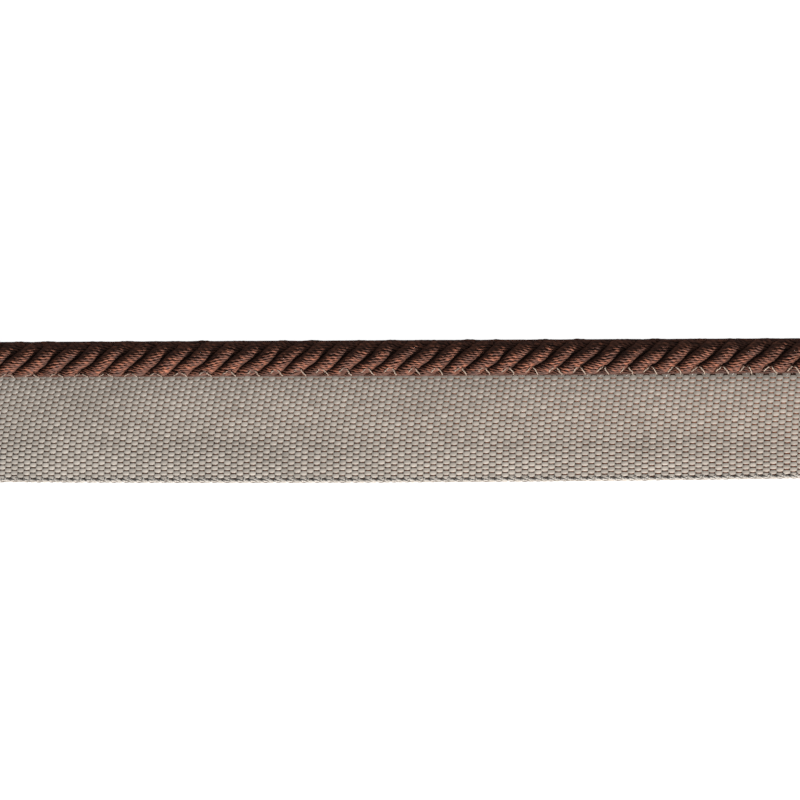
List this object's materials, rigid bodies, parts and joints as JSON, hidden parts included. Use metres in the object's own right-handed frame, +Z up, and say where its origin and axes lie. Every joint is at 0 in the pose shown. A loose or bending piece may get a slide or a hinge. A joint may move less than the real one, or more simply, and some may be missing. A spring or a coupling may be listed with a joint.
{
  "type": "flanged twisted cord trim",
  "caption": "Cut length of twisted cord sewn along the edge of a flat woven tape, lying flat, for setting into a seam.",
  "frame": {"origin": "centre of the strip's box, on the surface that it rests on", "axes": "+X along the strip, +Y across it towards the cord, +Z up, out of the face that shows"},
  "size_m": [0.12, 0.0178, 0.0049],
  "materials": {
    "cord_yarn": "dark brown spun yarn, soft sheen",
    "tape_yarn": "greige plain weave, slightly shiny warp",
    "sewing_thread": "pale beige sewing thread, satin"
  },
  "bodies": {
    "root": {"twisted_cord": "cord_yarn", "woven_tape": "tape_yarn"}
  },
  "joints": []
}
